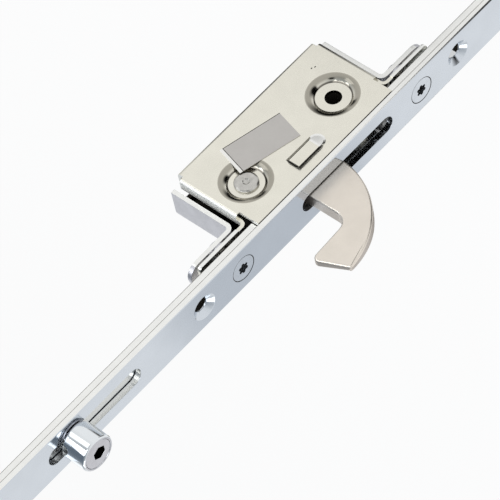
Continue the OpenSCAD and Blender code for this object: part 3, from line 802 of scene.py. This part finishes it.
class LOCK_OT_pivot(bpy.types.Operator):
    """Rivet, distance sleeve and washers of the hook's pivot"""

    bl_idname = "lock.pivot"
    bl_label = "Pivot"

    def execute(self, context):
        finish = context.scene.lock_finish
        sizes = context.scene.lock_sizes
        dress("pivot_rivet", (rivet_steel(finish),), sizes.turned_round * 1.5, 3)
        for name in ("pivot_sleeve", "cover_washer", "tray_washer"):
            dress(name, (turned_zinc(finish),), sizes.turned_round)
        return {"FINISHED"}


class LOCK_OT_fasteners(bpy.types.Operator):
    """Case screws with painted shade in their drives, their distance sleeves and press nuts"""

    bl_idname = "lock.fasteners"
    bl_label = "Screws and nuts"

    def execute(self, context):
        finish = context.scene.lock_finish
        sizes = context.scene.lock_sizes
        bright = screw_zinc(finish)
        painted_shade = painted_shade_zinc(finish)
        for side in ("upper", "lower"):
            screw = side + "_case_screw"
            axis = middle_of(screw)
            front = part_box(screw)[0].y

            def in_drive(point):
                return across(point, axis) < sizes.drive_reach and point.y < front + DRIVE_DEPTH

            def paint(centre, normal):
                # The bottom of the drive is painted as shade.
                sunk = in_drive(centre) and centre.y > front + DRIVE_LIP
                return painted_shade if sunk and normal.y < FRONTWARD else bright

            dress(
                screw, (bright, painted_shade), sizes.turned_round,
                chosen=lambda middle: not in_drive(middle), paint=paint,
            )
            for kind in ("_spacer", "_press_nut"):
                dress(side + kind, (turned_zinc(finish),), sizes.turned_round)
        return {"FINISHED"}


class LOCK_OT_roller(bpy.types.Operator):
    """Eccentric stud with painted shade in its socket and front faces, roller sleeve and washers"""

    bl_idname = "lock.roller"
    bl_label = "Roller"

    def execute(self, context):
        finish = context.scene.lock_finish
        sizes = context.scene.lock_sizes
        chrome = roller_chrome(finish)
        painted_shade = painted_shade_zinc(finish)
        turned = turned_zinc(finish)
        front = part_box("roller_pin")[0].y
        axis = AXIS_AT["roller_setting"]

        def paint_sleeve(centre, normal):
            # The front faces take the duller turned zinc, darker as painted shade.
            return turned if normal.y < FRONTWARD else chrome

        def paint_pin(centre, normal):
            # The hexagon socket is painted as shade.
            sunk = front + SOCKET_LIP < centre.y < front + SOCKET_DEPTH
            if sunk and across(centre, axis) < sizes.hex_reach:
                return painted_shade
            return paint_sleeve(centre, normal)

        dress("roller_pin", (chrome, painted_shade, turned), sizes.turned_round, paint=paint_pin)
        dress("roller_sleeve", (chrome, turned), sizes.turned_round * 2, paint=paint_sleeve)
        dress("roller_washer", (turned,), sizes.turned_round / 2)
        dress("roller_spring_washer", (spring_bare(finish),), sizes.turned_round / 2)
        return {"FINISHED"}


class LOCK_OT_label(bpy.types.Operator):
    """Blank foil label, stuck askew and bridging the edge of the pivot's recess"""

    bl_idname = "lock.label"
    bl_label = "Label"

    def execute(self, context):
        finish = context.scene.lock_finish
        sizes = context.scene.lock_sizes
        materials = (label_foil(finish), border_foil(finish), label_shadow_line(finish))
        coat, bare, line = range(len(materials))
        half = Vector((sizes.label_length / 2, sizes.label_width / 2))
        coat_end = half.x - sizes.label_border
        coat_side = sizes.label_line - half.y
        bm = bmesh.new()
        bmesh.ops.create_grid(bm, x_segments=16, y_segments=8, size=0.5)
        bmesh.ops.scale(bm, verts=bm.verts, vec=(2 * half.x, 2 * half.y, 1))
        for place, way in (
            ((coat_end, 0, 0), (1, 0, 0)),
            ((coat_end - sizes.label_line, 0, 0), (1, 0, 0)),
            ((0, coat_side, 0), (0, 1, 0)),
        ):
            everything = [*bm.verts, *bm.edges, *bm.faces]
            bmesh.ops.bisect_plane(bm, geom=everything, plane_co=place, plane_no=way, dist=MERGE)
        # The dark line along one long side is painted shadow of the label's lifted edge.
        for face in bm.faces:
            centre = face.calc_center_median()
            if centre.x > coat_end:
                face.material_index = bare
            elif centre.x > coat_end - sizes.label_line or centre.y < coat_side:
                face.material_index = line
            else:
                face.material_index = coat
        bmesh.ops.solidify(bm, geom=bm.faces[:], thickness=sizes.label_thickness)
        bmesh.ops.recalc_face_normals(bm, faces=bm.faces)
        lowest = min(vert.co.z for vert in bm.verts)
        bmesh.ops.translate(bm, verts=bm.verts, vec=(0, 0, -lowest))
        self.place(bm, sizes)
        finish_piece(bm, "blank_label", "base", materials)
        return {"FINISHED"}

    def place(self, bm, sizes):
        # Its long side runs up the case, leaning back; its coat faces out of the cover.
        along = Vector((0, math.sin(sizes.label_turn), math.cos(sizes.label_turn)))
        out = Vector((1, 0, 0))
        turn = Matrix((along, out.cross(along), out)).transposed()
        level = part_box("case_cover")[1].x - sizes.louvre_rise
        centre = AXIS_AT["hook_swing"] + LABEL_FROM_PIVOT
        centre.x = level + TINY
        bmesh.ops.transform(bm, matrix=Matrix.Translation(centre) @ turn.to_4x4(), verts=bm.verts)


class LOCK_OT_stage(bpy.types.Operator):
    """Pale floor, soft studio light and the photograph's camera"""

    bl_idname = "lock.stage"
    bl_label = "Stage"

    def execute(self, context):
        scene = context.scene
        scene.view_settings.view_transform = "Standard"
        self.floor(scene)
        self.cards(scene)
        self.world(scene)
        self.lamps(scene)
        self.camera(scene)
        return {"FINISHED"}

    def sheet(self, scene, name, centre, size, material, facing=(0, 0, 1)):
        """A flat sheet of the stage that faces a way."""
        turn = Vector(facing).to_track_quat("Z", "Y").to_matrix().to_4x4()
        bm = bmesh.new()
        bmesh.ops.create_grid(bm, x_segments=1, y_segments=1, size=0.5)
        bmesh.ops.scale(bm, verts=bm.verts, vec=(*size, 1))
        bmesh.ops.transform(bm, matrix=Matrix.Translation(centre) @ turn, verts=bm.verts)
        mesh = bpy.data.meshes.new(name)
        bm.to_mesh(mesh)
        bm.free()
        mesh.materials.append(material)
        board = bpy.data.objects.new(name, mesh)
        scene.collection.objects.link(board)
        return board

    def floor(self, scene):
        # Matt white studio board: white to the eye and in the metal, with the object's soft shadow left in.
        material = bpy.data.materials.new("board_matt_white")
        material.use_nodes = True
        tree = material.node_tree
        shader = tree.nodes["Principled BSDF"]
        shader.inputs["Base Color"].default_value = (*linear("F2F2F2"), 1)
        shader.inputs["Roughness"].default_value = 0.9
        shader.inputs["Specular IOR Level"].default_value = 0.1
        path = add(tree, "ShaderNodeLightPath")
        seen_or_mirrored = add(
            tree, "ShaderNodeMath",
            {0: path.outputs["Is Camera Ray"], 1: path.outputs["Is Glossy Ray"]}, operation="MAXIMUM",
        )
        shown = add(
            tree, "ShaderNodeMath",
            {0: seen_or_mirrored.outputs[0], 1: path.outputs["Is Transmission Ray"]}, operation="MAXIMUM",
        )
        share = add(tree, "ShaderNodeMath", {0: shown.outputs[0], 1: FLOOR_GLOW}, operation="MULTIPLY")
        white = add(tree, "ShaderNodeEmission", {"Color": (1, 1, 1, 1), "Strength": 1.0})
        mixed = add(
            tree, "ShaderNodeMixShader",
            {0: share.outputs[0], 1: shader.outputs["BSDF"], 2: white.outputs["Emission"]},
        )
        tree.links.new(mixed.outputs["Shader"], tree.nodes["Material Output"].inputs["Surface"])
        self.sheet(scene, "floor", (0, 0, CAD_BOX[0][2]), (FLOOR_WIDTH, FLOOR_WIDTH), material)

    def cards(self, scene):
        # Soft-edged cards for the metal to mirror, unseen themselves: name, centre and reach in metres,
        # tone, facing.
        low = CAD_BOX[0][2] + CARD_LIFT
        up = (0, 0, 1)
        cards = (
            ("wall_flag", (0.07, -0.05, low), (0.1, 0.07), "0A0A0A", up),
            ("shoulder_flag", (0.0, 0.095, low), (0.12, 0.065), "1C1C1B", up),
            ("bend_flag", (-0.02, 0.25, low), (0.2, 0.1), "1A1A19", up),
            ("warm_card", (-0.14, 0.01, low), (0.06, 0.05), "7A746C", up),
            ("strip_card", (-0.27, -0.17, low), (0.17, 0.14), "D8DBDF", up),
            ("arc_flag", (0.9, -0.2, 0.28), (0.18, 0.18), "060606", (-0.9, 0.2, -0.28)),
        )
        for name, centre, reach, tone, facing in cards:
            size = [2 * side for side in reach]
            card = self.sheet(scene, name, centre, size, self.glowing_card(name, centre, reach, tone), facing)
            card.visible_camera = False
            card.visible_diffuse = False
            card.visible_shadow = False

    def glowing_card(self, name, centre, reach, tone):
        # A glowing card: one even emitted tone that thins out towards the card's rim, so no edge shows in
        # the metal.
        material = bpy.data.materials.new(name + "_glowing_card")
        material.use_nodes = True
        tree = material.node_tree
        place = add(tree, "ShaderNodeTexCoord").outputs["Object"]
        centred = add(
            tree, "ShaderNodeMapping",
            {"Vector": place, "Location": centre, "Scale": (*reach, max(reach))}, vector_type="TEXTURE",
        )
        ball = add(
            tree, "ShaderNodeTexGradient", {"Vector": centred.outputs["Vector"]}, gradient_type="SPHERICAL"
        )
        cover = add(
            tree, "ShaderNodeMapRange",
            {
                "Value": ball.outputs["Fac"], "From Min": 0.0, "From Max": CARD_FADE,
                "To Min": 0.0, "To Max": 1.0,
            },
        )
        clear = add(tree, "ShaderNodeBsdfTransparent")
        glow = add(tree, "ShaderNodeEmission", {"Color": (*linear(tone), 1), "Strength": 1.0})
        mixed = add(
            tree, "ShaderNodeMixShader",
            {0: cover.outputs["Result"], 1: clear.outputs["BSDF"], 2: glow.outputs["Emission"]},
        )
        tree.links.new(mixed.outputs["Shader"], tree.nodes["Material Output"].inputs["Surface"])
        return material

    def world(self, scene):
        # Light tent: white towards the horizon, grey-blue overhead, so that rounded metal keeps its shape.
        world = bpy.data.worlds.new("light_tent")
        scene.world = world
        world.use_nodes = True
        tree = world.node_tree
        towards = add(tree, "ShaderNodeTexCoord").outputs["Generated"]
        height = add(tree, "ShaderNodeSeparateXYZ", {"Vector": towards})
        fade = add(
            tree, "ShaderNodeMapRange",
            {"Value": height.outputs["Z"], "From Min": 0.1, "From Max": 0.9, "To Min": 0.0, "To Max": 1.0},
        )
        tones = add(
            tree, "ShaderNodeMix",
            {"Factor": fade.outputs["Result"], "A": (*linear("F6F7F7"), 1), "B": (*linear("76808A"), 1)},
            data_type="RGBA",
        )
        sky = tree.nodes["Background"]
        tree.links.new(tones.outputs["Result"], sky.inputs["Color"])
        sky.inputs["Strength"].default_value = 1.0

    def lamps(self, scene):
        # Softboxes that all look at the lock's middle: name, place and width in metres, power in watts.
        boxes = (
            ("key_softbox", (0.62, -0.34, 0.85), 0.6, 2.4),
            ("bridge_softbox", (0.52, 0.12, 0.9), 0.5, 1.9),
            ("top_softbox", (0.36, 0.57, 0.82), 0.6, 2.4),
            ("side_softbox", (0.82, 0.6, 0.36), 0.4, 0.35),
            ("rim_softbox", (-0.88, 0.55, 0.43), 0.5, 0.32),
            ("fill_softbox", (-0.7, -0.7, 0.6), 0.6, 1.7),
        )
        for name, place, width, power in boxes:
            lamp = bpy.data.lights.new(name, "AREA")
            lamp.size = width
            lamp.energy = power
            holder = bpy.data.objects.new(name, lamp)
            turn = (-Vector(place)).to_track_quat("-Z", "Y").to_matrix().to_4x4()
            holder.matrix_world = Matrix.Translation(place) @ turn
            scene.collection.objects.link(holder)

    def camera(self, scene):
        # Long lens, so the strip's edges stay nearly parallel as in the photograph. Its place, and what
        # lies to its right and behind it, were fitted to the photograph.
        lens = bpy.data.cameras.new("photo_camera")
        lens.sensor_width = 36.0
        lens.lens = 288.0
        lens.clip_start = 0.05
        place = (0.8903, -0.5400, 0.4522)
        back = Vector((0.7929, -0.4816, 0.3733)).normalized()
        right = Vector((-0.1417, -0.7415, -0.6559))
        right = (right - back * right.dot(back)).normalized()
        up = back.cross(right)
        turn = Matrix((right, up, back)).transposed().to_4x4()
        holder = bpy.data.objects.new("photo_camera", lens)
        holder.matrix_world = Matrix.Translation(place) @ turn
        scene.collection.objects.link(holder)
        scene.camera = holder


class LOCK_PT_sidebar(bpy.types.Panel):
    """The lock's pieces, in the order they are made"""

    bl_idname = "LOCK_PT_sidebar"
    bl_label = "Multipoint lock"
    bl_space_type = "VIEW_3D"
    bl_region_type = "UI"
    bl_category = "Lock"

    def draw(self, context):
        column = self.layout.column(align=True)
        for maker in MAKERS:
            column.operator(maker.bl_idname)
        for group in (context.scene.lock_sizes, context.scene.lock_finish):
            for key in group.__annotations__:
                self.layout.prop(group, key)


MAKERS = (
    LOCK_OT_faceplate, LOCK_OT_rail, LOCK_OT_tray, LOCK_OT_cover, LOCK_OT_marks, LOCK_OT_hook,
    LOCK_OT_pivot, LOCK_OT_fasteners, LOCK_OT_roller, LOCK_OT_label, LOCK_OT_stage,
)
CLASSES = (LockFinish, LockSizes, *MAKERS, LOCK_PT_sidebar)


def register():
    for cls in CLASSES:
        bpy.utils.register_class(cls)
    bpy.types.Scene.lock_finish = PointerProperty(type=LockFinish)
    bpy.types.Scene.lock_sizes = PointerProperty(type=LockSizes)


def unregister():
    del bpy.types.Scene.lock_sizes
    del bpy.types.Scene.lock_finish
    for cls in reversed(CLASSES):
        bpy.utils.unregister_class(cls)


def main():
    register()
    for maker in MAKERS:
        family, name = maker.bl_idname.split(".")
        getattr(getattr(bpy.ops, family), name)()


if __name__ == "__main__":
    main()
